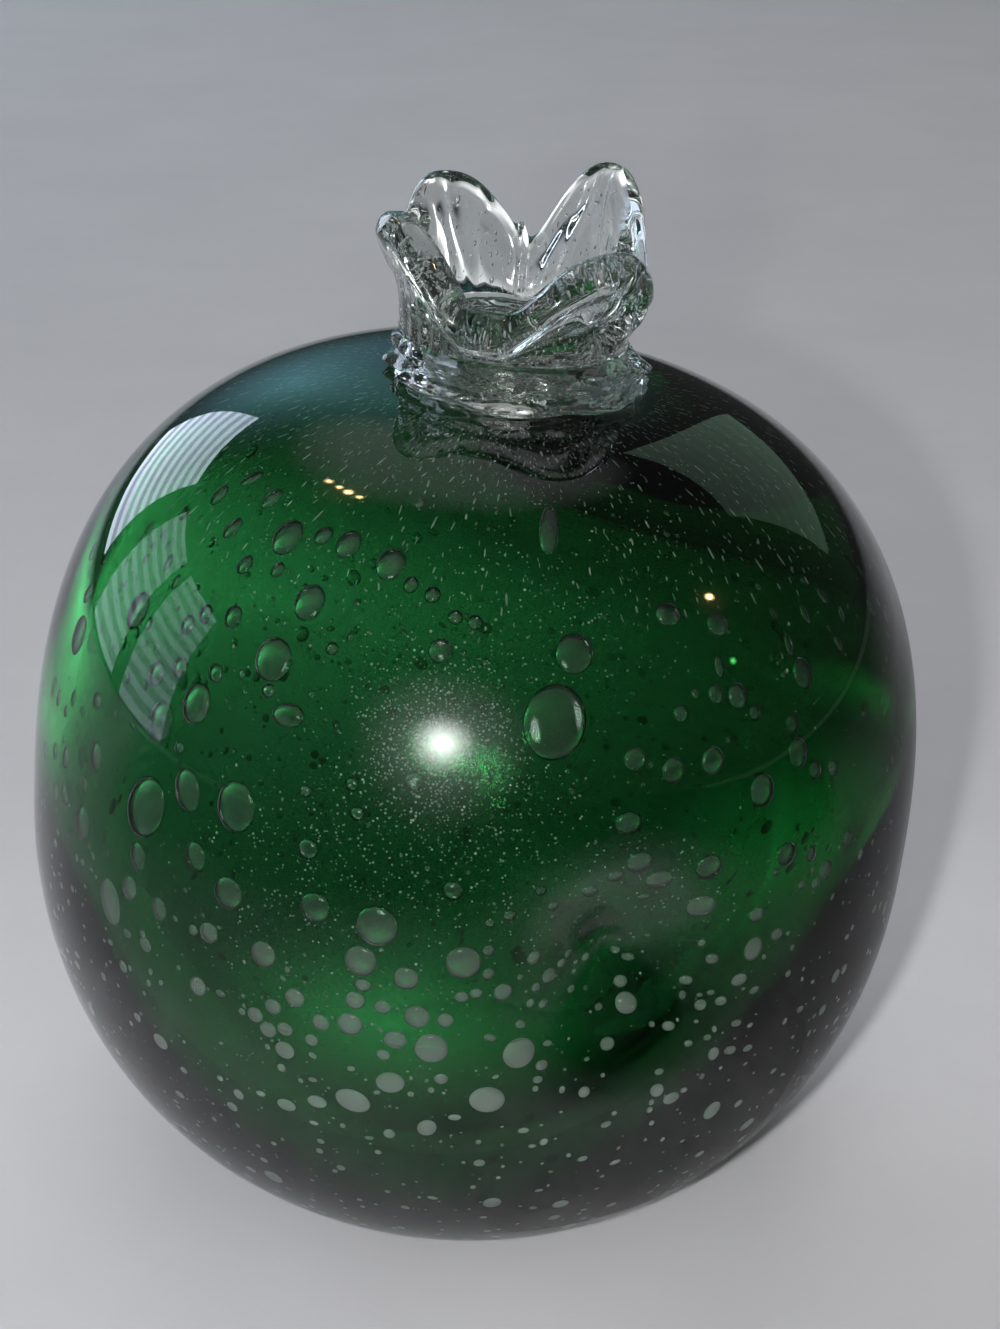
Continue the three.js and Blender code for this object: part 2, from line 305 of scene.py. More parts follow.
def layer_points(layer, polar, bearing):
    """Points of a layer at angles from the top of the axis and bearings about it."""
    radius, rise, drop = layer
    upper = polar < math.pi / 2
    power = np.where(upper, SHOULDER_POWER, BOWL_POWER)
    height = np.where(upper, rise, drop)
    fall = (np.abs(np.sin(polar)) / radius) ** power + (np.abs(np.cos(polar)) / height) ** power
    reach = fall ** (-1 / power)
    across = reach * np.sin(polar)
    up = reach * np.cos(polar) - np.where(upper, seat_dip(across), 0)
    return around(across, bearing, up)


def form_at(points):
    """Distance of points from the axis, and the power and height of the globe's form there."""
    across = np.linalg.norm(points[..., :2], axis=-1)
    upper = points[..., 2] > 0
    return across, np.where(upper, SHOULDER_POWER, BOWL_POWER), np.where(upper, SHOULDER_RISE, BOWL_DROP)


def surface_normals(points):
    """Outward normals of the casing near its surface, before the dent."""
    across, power, height = form_at(points)
    side = across ** (power - 2) / GLOBE_RADIUS ** power
    up = np.sign(points[..., 2]) * np.abs(points[..., 2]) ** (power - 1) / height ** power
    return unit(np.stack([points[..., 0] * side, points[..., 1] * side, up], -1))


def press_dent(points):
    """Presses the dent, which trails off downwards, its navel, and the lip over the navel."""
    direction = unit(points)
    turn = np.arccos(np.clip(direction @ DENT_AXIS, -1, 1))
    off = GLOBE_RADIUS * turn
    down = direction @ DENT_DOWN / np.maximum(np.sin(turn), TINY)
    below = np.clip(down, 0, 1) ** 2
    push = DENT_DEPTH * np.exp(-((off / (DENT_REACH * (1 + DENT_TRAIL * below))) ** 2))
    push += NAVEL_DEPTH * np.exp(-np.hypot(off, NAVEL_TIP) / (NAVEL_REACH * (1 + NAVEL_TRAIL * below)))
    lip = near(off, NAVEL_LIP_PLACE, NAVEL_LIP_WIDTH)
    push -= NAVEL_LIP * lip * np.clip(-down, 0, 1)
    return points - push[..., None] * DENT_AXIS


def leaned(points, lean):
    """Points turned about the Y axis."""
    x, y, z = np.moveaxis(points, -1, 0)
    sine, cosine = math.sin(lean), math.cos(lean)
    return np.stack([x * cosine + z * sine, y, z * cosine - x * sine], -1)


def stand(points):
    """Leans points made about the globe's own axis, and stands them on the foot."""
    return leaned(points, GLOBE_LEAN) + [0, 0, CENTRE_HEIGHT]


def unstand(points):
    return leaned(points - np.array([0, 0, CENTRE_HEIGHT]), -GLOBE_LEAN)


def add_object(name, data):
    thing = bpy.data.objects.new(name, data)
    bpy.context.scene.collection.objects.link(thing)
    return thing


class Surface:
    """Points and faces of one piece, gathered part by part, with a material slot for each part."""

    def __init__(self):
        self.points = []
        self.faces = []
        self.slots = []
        self.count = 0

    def add(self, points, faces, slot=0):
        points = np.asarray(points).reshape(-1, 3)
        self.points.append(points)
        self.faces += [[int(corner) + self.count for corner in face] for face in faces]
        self.slots += [slot] * len(faces)
        self.count += len(points)

    def build(self, name, materials):
        mesh = bpy.data.meshes.new(name)
        mesh.from_pydata((np.concatenate(self.points) * MM).tolist(), [], self.faces)
        for material in materials:
            mesh.materials.append(material)
        mesh.polygons.foreach_set("material_index", self.slots)
        mesh.polygons.foreach_set("use_smooth", [True] * len(mesh.polygons))
        mesh.validate()
        return add_object(name, mesh)


def ring_faces(rows, columns, closed=False):
    """Quads between rings of points. They face outwards where the rings run downwards."""
    spans = rows if closed else rows - 1
    row, column = np.meshgrid(np.arange(spans), np.arange(columns), indexing="ij")
    below = (row + 1) % rows
    beside = (column + 1) % columns
    corners = [row * columns + column, below * columns + column,
               below * columns + beside, row * columns + beside]
    return np.stack(corners, -1).reshape(-1, 4)


def capped_faces(rows, columns):
    """Faces of rings with a pole at each end. The poles are the last two points, top then bottom."""
    faces = ring_faces(rows, columns).tolist()
    top = rows * columns
    last = (rows - 1) * columns
    for column in range(columns):
        beside = (column + 1) % columns
        faces.append([top, column, beside])
        faces.append([top + 1, last + beside, last + column])
    return faces


def capped_points(rings, top, bottom):
    return np.concatenate([rings.reshape(-1, 3), [top], [bottom]])


def turned(faces):
    """The same faces, looking the other way."""
    return [face[::-1] for face in faces]


def bearings_of(columns):
    return np.arange(columns) * TURN / columns


# Camera
camera_place = np.array([
    0, -CAMERA_DISTANCE * math.cos(CAMERA_ELEVATION),
    CENTRE_HEIGHT + CAMERA_DISTANCE * math.sin(CAMERA_ELEVATION),
])
camera_ahead = around(math.cos(CAMERA_PITCH), TURN / 4 - CAMERA_YAW, math.sin(CAMERA_PITCH))
camera_right = np.array([math.cos(CAMERA_YAW), -math.sin(CAMERA_YAW), 0])
camera_up = np.cross(camera_right, camera_ahead)


def add_camera():
    data = bpy.data.cameras.new("camera")
    data.sensor_width = SENSOR
    data.lens = FOCAL_PIXELS * SENSOR / IMAGE_HEIGHT
    data.clip_start = CAMERA_CLIP * MM
    camera = add_object("camera", data)
    turn = Matrix([camera_right, camera_up, -camera_ahead]).transposed()
    camera.matrix_world = Matrix.LocRotScale(Vector(camera_place * MM), turn.to_quaternion(), None)
    bpy.context.scene.camera = camera


def outside_globe(points):
    """Below zero inside the undented casing, above zero outside it."""
    across, power, height = form_at(points)
    return (across / GLOBE_RADIUS) ** power + (np.abs(points[..., 2]) / height) ** power - 1


def globe_under_pixel(across, down):
    """The casing's point, about its own axis, that a pixel of the photograph shows, and the ray to it."""
    ray = camera_ahead + camera_right * (across - IMAGE_WIDTH / 2) / FOCAL_PIXELS
    ray = unit(ray + camera_up * (IMAGE_HEIGHT / 2 - down) / FOCAL_PIXELS)
    centre = np.array([0, 0, CENTRE_HEIGHT])
    inside = (centre - camera_place) @ ray
    outside = inside - 2 * GLOBE_RADIUS
    for _ in range(BISECTIONS):
        middle = (outside + inside) / 2
        if outside_globe(unstand(camera_place + middle * ray)) > 0:
            outside = middle
        else:
            inside = middle
    return unstand(camera_place + outside * ray), ray


def mirrored(across, down):
    """The place on the globe that a pixel shows, and the direction that it mirrors."""
    point, ray = globe_under_pixel(across, down)
    normal = leaned(surface_normals(point), GLOBE_LEAN)
    return stand(point), ray - 2 * (ray @ normal) * normal


# Glass: indices of refraction, and the noise of its tint and haze as scale, detail and roughness
GLASS_INDEX = 1.5
BUBBLE_INDEX = 1.35
COLOUR_INDEX = 1.0
TINT_NOISE = (45, 3)
HAZE_NOISE = (160, 6, 0.6)
VOID_TINT_NOISE = (220, 3)
VOID_HAZE_NOISE = (400, 4)
TINT_RANGE = (0.35, 0.65)
NOISE_RANGE = (0.3, 0.7)
CASING_TINTS = ((0.7, 0.89, 0.77), (0.78, 0.92, 0.82))
CROWN_TINTS = ((0.94, 0.97, 0.95), (0.98, 0.99, 0.98))
COLLAR_TINTS = ((0.9, 0.93, 0.91), (0.97, 0.98, 0.97))
VOID_TINTS = ((0.95, 0.98, 0.96), (1, 1, 1))
# Ripples: scale of their noise, depth
CASING_RIPPLE = (90, 0.02)
CROWN_RIPPLE = (300, 0.015)
COLLAR_RIPPLE = (700, 0.01)
RIPPLE_DETAIL = 2
# Absorption: colour that is let through, density
CROWN_ABSORPTION = ((0.25, 0.33, 0.28), 28)
COLLAR_ABSORPTION = ((0.24, 0.3, 0.26), 45)
GREEN_ABSORPTION = ((0.033, 0.52, 0.24), 1850)
SEED_CLEARNESS = 0.68
FOAM_CLEARNESS = 0.2


# Materials
def nodes_of(name):
    material = bpy.data.materials.new(name)
    material.use_nodes = True
    tree = material.node_tree
    return material, tree, tree.nodes["Principled BSDF"]


def set_inputs(node, **inputs):
    """Sets or links a node's inputs. An underscore in a name stands for a space."""
    for name, value in inputs.items():
        socket = node.inputs[name.replace("_", " ")]
        if isinstance(value, bpy.types.NodeSocket):
            node.id_data.links.new(value, socket)
        else:
            socket.default_value = value


def add_node(tree, kind, **inputs):
    node = tree.nodes.new("ShaderNode" + kind)
    set_inputs(node, **inputs)
    return node


def object_place(tree):
    return add_node(tree, "TexCoord").outputs["Object"]


def add_noise(tree, scale, detail, roughness=0.5):
    texture = add_node(tree, "TexNoise", Vector=object_place(tree), Scale=scale, Detail=detail,
                       Roughness=roughness)
    return texture.outputs["Fac"]


def map_range(tree, value, start, end, low, high):
    """Turns values from start to end into values from low to high."""
    spread = add_node(tree, "MapRange", Value=value, From_Min=start, From_Max=end, To_Min=low, To_Max=high)
    return spread.outputs["Result"]


def spread_colour(tree, value, first, second, span=TINT_RANGE):
    """Turns values over a span into colours from the first to the second."""
    ramp = add_node(tree, "ValToRGB", Fac=value)
    for element, position, colour in zip(ramp.color_ramp.elements, span, (first, second)):
        element.position = position
        element.color = (*colour, 1)
    return ramp.outputs["Color"]


def glass(name, tints, index, haze, clear=1, tint_noise=TINT_NOISE, haze_noise=HAZE_NOISE):
    """Glass whose tint drifts between two colours, hazed in patches if at all."""
    material, tree, shader = nodes_of(name)
    tint = spread_colour(tree, add_noise(tree, *tint_noise), *tints)
    rough = map_range(tree, add_noise(tree, *haze_noise), *NOISE_RANGE, 0, haze) if haze else 0
    set_inputs(shader, Transmission_Weight=clear, IOR=index, Base_Color=tint, Roughness=rough)
    return material


def void_wall(name, index, haze, clear=1):
    """Nearly even glass, for the walls of voids and for the green layer."""
    return glass(name, VOID_TINTS, index, haze, clear, VOID_TINT_NOISE, VOID_HAZE_NOISE)


def add_ripple(material, scale, depth):
    tree = material.node_tree
    height = add_noise(tree, scale, RIPPLE_DETAIL)
    bump = add_node(tree, "Bump", Strength=1, Distance=depth * MM, Height=height)
    set_inputs(tree.nodes["Principled BSDF"], Normal=bump.outputs["Normal"])


def add_absorption(material, colour, density):
    tree = material.node_tree
    volume = add_node(tree, "VolumeAbsorption", Color=(*colour, 1), Density=density)
    set_inputs(tree.nodes["Material Output"], Volume=volume.outputs["Volume"])


def paint_floor_reflection_low_down(material):
    """Painted reflection: lets the walls of the lowest bubbles scatter a little light, so that they look
    lighter, as bubbles that mirror the pale floor do.
    """
    tree = material.node_tree
    height = add_node(tree, "SeparateXYZ", Vector=object_place(tree)).outputs["Z"]
    clear = map_range(tree, height, FLOOR_REFLECTION_BELOW * MM, CLEAR_ABOVE * MM, FLOOR_REFLECTION_CLEARNESS, TOP_CLEARNESS)
    set_inputs(tree.nodes["Principled BSDF"], Transmission_Weight=clear)


casing_glass = glass("casing_glass", CASING_TINTS, GLASS_INDEX, haze=0.02)
add_ripple(casing_glass, *CASING_RIPPLE)
crown_glass = glass("crown_glass", CROWN_TINTS, GLASS_INDEX, haze=0.01)
add_ripple(crown_glass, *CROWN_RIPPLE)
add_absorption(crown_glass, *CROWN_ABSORPTION)
seedy_glass = glass("seedy_glass", COLLAR_TINTS, GLASS_INDEX, haze=0)
add_ripple(seedy_glass, *COLLAR_RIPPLE)
add_absorption(seedy_glass, *COLLAR_ABSORPTION)
green_glass = void_wall("green_glass", COLOUR_INDEX, haze=0)
add_absorption(green_glass, *GREEN_ABSORPTION)
bubble_wall = void_wall("bubble_wall", BUBBLE_INDEX, haze=0.02)
# The lowest bubbles' walls are milky, a painted reflection of the floor
paint_floor_reflection_low_down(bubble_wall)
seed_wall = void_wall("seed_wall", GLASS_INDEX, haze=0.04, clear=SEED_CLEARNESS)
foam_wall = void_wall("foam_wall", GLASS_INDEX, haze=0.08, clear=FOAM_CLEARNESS)


# Crown, made about the globe's own axis
def seat_height(across):
    """Height of the globe's top at a distance from its axis."""
    fall = (across / GLOBE_RADIUS) ** SHOULDER_POWER
    return SHOULDER_RISE * (1 - fall) ** (1 / SHOULDER_POWER) - seat_dip(across)


SEAT = SHOULDER_RISE - SEAT_DIP
STUB_RADIUS = NECK_RADIUS - COLLAR_LAP
COLLAR_TOP = SEAT + COLLAR_HEIGHT
CUP_BORE = NECK_RADIUS - LIP_THICKNESS


def collar_change(bearing):
    """How far the collar's outside lies from its round form."""
    lump = sum(np.cos(waves * bearing + math.radians(phase)) for waves, phase in COLLAR_LUMPS)
    flats = sum(depth * np.clip(np.cos(bearing - math.radians(middle)), 0, None) ** 2
                for middle, depth in COLLAR_FLATS)
    return COLLAR_UNEVENNESS * (COLLAR_LUMP * lump - flats - mark(bearing, *SEAM))


def footprint(bearing):
    """Radius of the collar's lower edge."""
    return NECK_RADIUS + COLLAR_BULGES[0] * COLLAR_BULGE + collar_change(bearing)


def noise_at(points, scale):
    values = [noise.noise(Vector(point) * scale) for point in points.reshape(-1, 3)]
    return np.array(values).reshape(points.shape[:-1])


COLLAR_COLUMNS = 360
COLLAR_ROWS = 48
COLLAR_STEPS = 4


def collar_wrinkles(side, share):
    """How far the folds and wrinkles swell the collar's side, fading to nothing at both ends."""
    stretch, scale, depth = COLLAR_FOLDS
    swell = depth * noise_at(side * stretch, scale)
    for stretch, shift, scale, crest, depth in COLLAR_WRINKLES:
        swell = swell + depth * (crest - np.abs(noise_at(side * stretch + shift, scale)))
    return swell * np.sin(math.pi * share) ** WRINKLE_FADE


def add_collar():
    bearing = bearings_of(COLLAR_COLUMNS)
    flat = np.ones_like(bearing)
    foot = footprint(bearing)
    low = seat_height(foot) + FUSED_SEAM
    share = np.linspace(0, 1, COLLAR_ROWS)[:, None]
    side_up = low + (COLLAR_TOP - low) * share
    bulge = COLLAR_BULGE * np.interp(share, COLLAR_SHARES, COLLAR_BULGES)
    side_across = NECK_RADIUS + bulge + collar_change(bearing) * (1 - share ** 3)
    side_across = side_across + collar_wrinkles(around(side_across, bearing, side_up), share)
    step = np.linspace(0, 1, COLLAR_STEPS + 1)[1:, None] * flat
    bore = STUB_RADIUS + FUSED_SEAM
    top_edge = NECK_RADIUS + COLLAR_BULGES[-1] * COLLAR_BULGE
    top_across = top_edge + (bore - top_edge) * step
    bore_up = COLLAR_TOP + (seat_height(bore) + FUSED_SEAM - COLLAR_TOP) * step
    under_across = bore + (foot - bore) * step[:-1]
    across = [top_across[:-1], bore + 0 * bore_up, under_across, side_across]
    up = [COLLAR_TOP + 0 * top_across[:-1], bore_up, seat_height(under_across) + FUSED_SEAM, side_up]
    rings = around(np.concatenate(across), bearing, np.concatenate(up))[::-1]
    collar = Surface()
    collar.add(stand(rings), ring_faces(len(rings), COLLAR_COLUMNS, closed=True))
    return collar.build("crown_collar_glass", [seedy_glass])


CUP_COLUMNS = 360
UNDER_STEPS = 5
OUTER_STEPS = 18
RIM_STEPS = 16
INNER_STEPS = 11
FILLET_STEPS = 5
FLOOR_SHARES = (0.75, 0.5, 0.25)


def lobes_at(bearing):
    """Rise, outward reach and how far up a lobe each bearing is."""
    rise = mark(bearing, *SPUR)
    reach = np.zeros_like(bearing)
    fullness = np.zeros_like(bearing)
    for middle, lower, higher, lobe_rise, lobe_reach in LOBES:
        turn = turn_from(bearing, middle)
        share = np.minimum(np.abs(turn) / np.where(turn < 0, lower, higher), 1)
        swell = (1 - share ** LOBE_FULLNESS) ** 2
        rise += lobe_rise * swell
        reach += lobe_reach * swell
        fullness += swell
    return rise, reach, fullness


SHOULDER = COLLAR_TOP + FUSED_SEAM
RIM_RADIUS = LIP_THICKNESS / 2
RIM_MIDDLE = CUP_BORE + RIM_RADIUS
RIM_START = COLLAR_TOP + NECK_RISE - RIM_RADIUS
CUP_FLOOR = SEAT + FLOOR_THICKNESS
CUP_FILLET = FILLET_SHARE * CUP_BORE


def cup_outline():
    """The cup's outline from the middle of its underside, up the outside, over the rim and down inside."""
    outline = []
    for share in np.linspace(0, 1, UNDER_STEPS + 1)[1:]:
        outline.append((STUB_RADIUS * share, seat_height(STUB_RADIUS * share) + FUSED_SEAM))
    outline.append((STUB_RADIUS, SHOULDER))
    for share in np.linspace(0, 1, OUTER_STEPS, endpoint=False):
        outline.append((NECK_RADIUS, SHOULDER + (RIM_START - SHOULDER) * share))
    for angle in np.linspace(0, math.pi, RIM_STEPS + 1):
        across = RIM_MIDDLE + RIM_RADIUS * math.cos(angle)
        outline.append((across, RIM_START + RIM_RADIUS * math.sin(angle)))
    low = CUP_FLOOR + CUP_FILLET
    for share in np.linspace(0, 1, INNER_STEPS + 1)[1:]:
        outline.append((CUP_BORE, RIM_START + (low - RIM_START) * share))
    for angle in np.linspace(0, math.pi / 2, FILLET_STEPS + 1)[1:]:
        across = CUP_BORE - CUP_FILLET * (1 - math.cos(angle))
        outline.append((across, low - CUP_FILLET * math.sin(angle)))
    for share in FLOOR_SHARES:
        outline.append(((CUP_BORE - CUP_FILLET) * share, CUP_FLOOR))
    return np.array(outline)


def shape_cup(across, up, bearing):
    """Draws the lobes up out of the plain cup, and tools its wall."""
    rise, reach, fullness = lobes_at(bearing)
    on_wall = rising(up, SHOULDER, RIM_START - SHOULDER)
    outside = np.clip((across - RIM_MIDDLE) / RIM_RADIUS, -1, 1)
    inner = on_wall * (outside < 0)
    outer = on_wall * (outside > 0)
    neck = (outside > 0) & (up >= SHOULDER)
    height = up + rise * on_wall
    below = RIM_START + rise - height
    thin = 1 - TIP_THINNING * fullness * on_wall
    across = np.where(on_wall > 0, RIM_MIDDLE + (across - RIM_MIDDLE) * thin, across)
    recess = EVEN_RECESS + mark(bearing, *FRONT_RECESS)
    across = across - recess * eased(rising(below, BEAD_DEPTH, BEAD_SOFTNESS)) * neck
    # The inside is dished over the upper half of each lobe, down to a third of the wall
    dished = np.clip(2 * fullness, 0, 1) * np.clip(3 * inner, 0, 1)
    across = across + INNER_RECESS * dished * eased(rising(below, 0, INNER_SOFTNESS))
    roll = near(on_wall, 1, LIP_ROLL_SPREAD) * (on_wall > 0) * (1 - LIP_ROLL_LOSS * fullness)
    across = across + LIP_ROLL * roll
    across = across + mark(bearing, *SWELL) * neck
    folds = np.sin(FOLD_COUNT * bearing) * mark(bearing, *FOLDS)
    across = across + folds * (1 - on_wall) * (outer > 0)
    for crease, depth in CREASES:
        middle = crease + CREASE_SWAY * np.sin(CREASE_BENDS * on_wall + crease)
        across = across + mark(bearing, middle, CREASE_WIDTH, depth) * inner
    thumb = mark(bearing, *THUMB) * near(height, SHOULDER + THUMB_RISE, THUMB_HEIGHT)
    across = across - thumb * (outer > 0)
    ridges = np.sin(TURN * NECK_RADIUS * bearing / RIDGE_PITCH) * mark(bearing, *RIDGES)
    height = height + ridges * on_wall ** RIDGE_CROWDING
    return across + reach * on_wall ** 2, height, on_wall


def add_cup():
    bearing = bearings_of(CUP_COLUMNS)
    flat = np.ones_like(bearing)
    outline = cup_outline()
    across, up, on_wall = shape_cup(outline[:, :1] * flat, outline[:, 1:] * flat, bearing)
    rings = around(across, bearing, up)
    wave = sum(depth * noise_at(rings + shift, scale) for scale, shift, depth in CROWN_WAVES)
    rings = around(across + wave * on_wall, bearing, up)
    points = capped_points(rings, (0, 0, SEAT + FUSED_SEAM), (0, 0, CUP_FLOOR))
    cup = Surface()
    cup.add(stand(points), turned(capped_faces(len(rings), CUP_COLUMNS)))
    return cup.build("crown_cup_glass", [crown_glass])


# Bubbles
def ball(columns, rows):
    """A unit bubble, facing into its void."""
    polar = np.arange(1, rows)[:, None] * math.pi / rows
    rings = around(np.sin(polar), bearings_of(columns), np.cos(polar))
    points = capped_points(rings, (0, 0, 1), (0, 0, -1))
    return points, np.array(turned(capped_faces(rows - 1, columns)), dtype=object)


def thickness_of(half_width):
    """Half the thickness of a bubble: all are flat, and large ones the flattest."""
    return FLATNESS * min(half_width, half_width ** FLATTENING)


class Bubbles:
    """Voids placed in the glass so that no two meet."""

    def __init__(self):
        self.centres = np.zeros((0, 3))
        self.reaches = np.zeros(0)
        self.made = []

    def place(self, group, polar, bearing, half_width, length, roll, depth):
        surface = layer_points(CASING_OUTER, np.array(polar), np.array(bearing))
        normal = surface_normals(surface)
        reach = half_width * max(length, 1)
        thick = thickness_of(half_width)
        centre = surface - normal * max(depth, thick + LEAST_COVER)
        apart = np.linalg.norm(self.centres - centre, axis=1)
        if np.any(apart < self.reaches + reach + LEAST_GAP):
            return
        self.centres = np.vstack([self.centres, centre])
        self.reaches = np.append(self.reaches, reach)
        self.made.append((group, centre, normal, half_width, length, thick, roll))

    def add_to(self, pieces):
        shapes = [(least, ball(columns, rows)) for least, columns, rows in BALL_STEPS]
        for group, centre, normal, half_width, length, thick, roll in self.made:
            points, faces = next(shape for least, shape in shapes if half_width > least)
            up = np.array([0, 0, 1]) - normal * normal[2]
            along = unit(up) * math.cos(roll) + np.cross(normal, unit(up)) * math.sin(roll)
            beside = np.cross(normal, along)
            placed = points[:, :1] * along * half_width * length + points[:, 1:2] * beside * half_width
            placed = stand(press_dent(placed + points[:, 2:] * normal * thick + centre))
            if placed[:, 2].min() > LOWEST_BUBBLE:
                pieces[group].add(placed, faces)


def drawn(first, last, crowding=1):
    """A random value of a range, crowded towards its first end by a power over one."""
    return first + (last - first) * rng.random() ** crowding


def wall_middle(bearing, share):
    """The middle of the cup's wall at a bearing and a share of the way up to the rim."""
    up = np.full(2, SHOULDER + (RIM_START - SHOULDER) * share)
    across, height, _ = shape_cup(np.array([CUP_BORE, NECK_RADIUS]), up, np.full(2, bearing))
    return around(across.mean(), bearing, height.mean())


def add_cup_seeds():
    """Tiny voids in the thick floor of the cup, and drawn-out ones in its wall."""
    seeds = Surface()
    points, faces = ball(*CUP_SEED_BALL)
    for _ in range(CUP_SEED_COUNT):
        across = CUP_SEED_REACH * math.sqrt(rng.random())
        bearing = rng.uniform(0, TURN)
        up = rng.uniform(SEAT + CUP_SEED_COVER_BELOW, CUP_FLOOR - CUP_SEED_COVER_ABOVE)
        half = drawn(*CUP_SEED_HALF_WIDTHS)
        seeds.add(stand(points * half + around(across, bearing, up)), faces, 0)
    for _ in range(WALL_SEED_COUNT):
        half = drawn(*WALL_SEED_HALF_WIDTHS)
        centre = wall_middle(rng.uniform(0, TURN), drawn(*WALL_SEED_HEIGHTS))
        centre = centre + rng.normal(0, WALL_SEED_SHIFT, 3)
        stretch = np.array([1, 1, drawn(*WALL_SEED_LENGTHS)])
        seeds.add(stand(points * half * stretch + centre), faces, rng.integers(2))
    return seeds.build("crown_cup_seeds", [foam_wall, seed_wall])


def polar_and_bearing(point):
    return math.acos(point[2] / np.linalg.norm(point)), math.atan2(point[1], point[0])


def scatter_cloud(bubbles, group, middle, spread, count, half_widths, depths):
    """Voids crowded about a pixel of the photograph."""
    for _ in range(count):
        point, _ = globe_under_pixel(*(np.array(middle) + rng.normal(0, spread, 2)))
        half = drawn(*half_widths)
        bubbles.place(group, *polar_and_bearing(point), half, 1, 0, drawn(*depths))


def scatter_all_round(bubbles, polar_of, group, count, places, half_widths, lengths, sway, depths):
    """Voids at all bearings. A group that goes by size is split between small bubbles and seeds."""
    for _ in range(count):
        polar = polar_of(drawn(*places))
        half = drawn(*half_widths)
        bearing = rng.uniform(0, TURN)
        length = drawn(*lengths) if lengths else 1
        roll = rng.normal(0, sway) if lengths else 0
        by_size = "small_bubbles" if half > SMALL_BUBBLE else "seeds"
        chosen = by_size if group == "by_size" else group
        bubbles.place(chosen, polar, bearing, half, length, roll, drawn(*depths))


def scatter_bubbles():
    bubbles = Bubbles()
    for across, down, width, length in LARGE_BUBBLES:
        point, _ = globe_under_pixel(across, down)
        roll = rng.normal(0, LARGE_SWAY)
        bubbles.place("bubbles", *polar_and_bearing(point), width / 2, length, roll, LARGE_DEPTH)
    for across, down, spread, count in SEED_CLOUDS:
        scatter_cloud(bubbles, "seeds", (across, down), spread, count, CLOUD_HALF_WIDTHS, CLOUD_DEPTHS)
    scatter_cloud(bubbles, "small_bubbles", GLARE_PIXEL, SPARK_SPREAD, SPARK_COUNT,
                  SPARK_HALF_WIDTHS, SPARK_DEPTHS)
    for row in UPPER_VOIDS:
        scatter_all_round(bubbles, math.radians, *row)
    for row in GLOBE_VOIDS:
        scatter_all_round(bubbles, math.acos, *row)
    return bubbles


# Globe
CASING_COLUMNS = 320
UNDER_CROWN_ROWS = 8
CASING_ROWS = 180
LAYER_COLUMNS = 200
LAYER_ROWS = 120


def polar_at(across):
    """Angle from the top of the axis at which the casing lies that far from it."""
    return np.arctan2(across, seat_height(across) + seat_dip(across))


def add_casing():
    casing = Surface()
    bearing = bearings_of(CASING_COLUMNS)
    edge = polar_at(footprint(bearing))
    under = np.linspace(0, 1, UNDER_CROWN_ROWS + 1)[1:, None] * edge
    rest = edge + (math.pi - edge) * np.linspace(0, 1, CASING_ROWS + 1)[1:-1, None]
    polar = np.concatenate([under, rest])
    rings = press_dent(layer_points(CASING_OUTER, polar, bearing))
    top, bottom = press_dent(layer_points(CASING_OUTER, np.array([0, math.pi]), np.zeros(2)))
    points = stand(capped_points(rings, top, bottom))
    points[:, 2] = np.maximum(points[:, 2], 0)
    faces = capped_faces(len(rings), CASING_COLUMNS)
    casing.add(points, faces)
    add_layer(casing, CAVITY, inward=True)
    return casing.build("casing_wall", [casing_glass])


def add_bubbles():
    walls = {"bubbles": bubble_wall, "small_bubbles": bubble_wall, "seeds": seed_wall,
             "streaks": seed_wall, "foam": foam_wall}
    pieces = {group: Surface() for group in walls}
    scatter_bubbles().add_to(pieces)
    return [pieces[group].build(f"casing_{group}", [wall]) for group, wall in walls.items()]


def add_layer(surface, layer, inward, shift=0):
    bearing = bearings_of(LAYER_COLUMNS)
    polar = np.arange(1, LAYER_ROWS)[:, None] * math.pi / LAYER_ROWS
    rings = layer_points(layer, polar, bearing)
    top, bottom = layer_points(layer, np.array([0, math.pi]), np.zeros(2))
    points = leaned(capped_points(rings, top, bottom), CAVITY_TILT) + CAVITY_PLACE + [shift, 0, 0]
    faces = capped_faces(len(rings), LAYER_COLUMNS)
    surface.add(stand(press_dent(points)), turned(faces) if inward else faces)


def add_green():
    green = Surface()
    add_layer(green, GREEN_OUTER, inward=False, shift=COLOUR_SHIFT)
    add_layer(green, GREEN_INNER, inward=True)
    return green.build("green_bubble_glass", [green_glass])


# Stage. Screens of glowing card stand for what the glass mirrors or shows through itself.
FLOOR_LEVEL = -0.06
FLOOR_FRONT = -900
FLOOR_BACK = 2400
FLOOR_SIDE = 1800
FLOOR_TINTS = ((0.47, 0.465, 0.48), (0.5, 0.495, 0.51))
FLOOR_NOISE = (14, 8, 0.7)
FLOOR_ROUGHNESS = 0.7
WHITE = (1, 1, 1)
WARM = (1, 0.66, 0.3)
LEAF = (0.12, 1, 0.2)
COOL = (0.74, 0.85, 1.05)
MOSS = (0.66, 1, 0.78)
TEAL = (0.33, 0.84, 1)
UP = np.array([0, 0, 1.0])
SCREEN_COLUMNS = 24
SCREEN_UPRIGHT = (0.1, 0.2, 1)
# Glints: pixel across, pixel down, radius of the glowing screen, strength, colour
GLINTS = [
    (331, 477, 11, 50, WARM), (341, 483, 10, 60, WARM), (350, 488, 13, 90, WARM),
    (361, 493, 10, 60, WARM), (347, 487, 75, 0.5, WARM), (710, 597, 14, 130, WARM),
    (711, 600, 60, 0.5, WARM), (734, 662, 13, 26, LEAF),
]
GLINT_DISTANCE = 500
# The glare's lamp, and the screens behind it: name, distance, radius, strength, whether seen through glass
GLARE_DISTANCE = 240
GLARE_WIDTH = 16
GLARE_WATTS = 0.12
GLARE_SCREENS = [("glint_core", 243, 45, 34, False), ("glint_halo", 245, 130, 3, False),
                 ("glint_sparks", 247, 70, 100, True)]
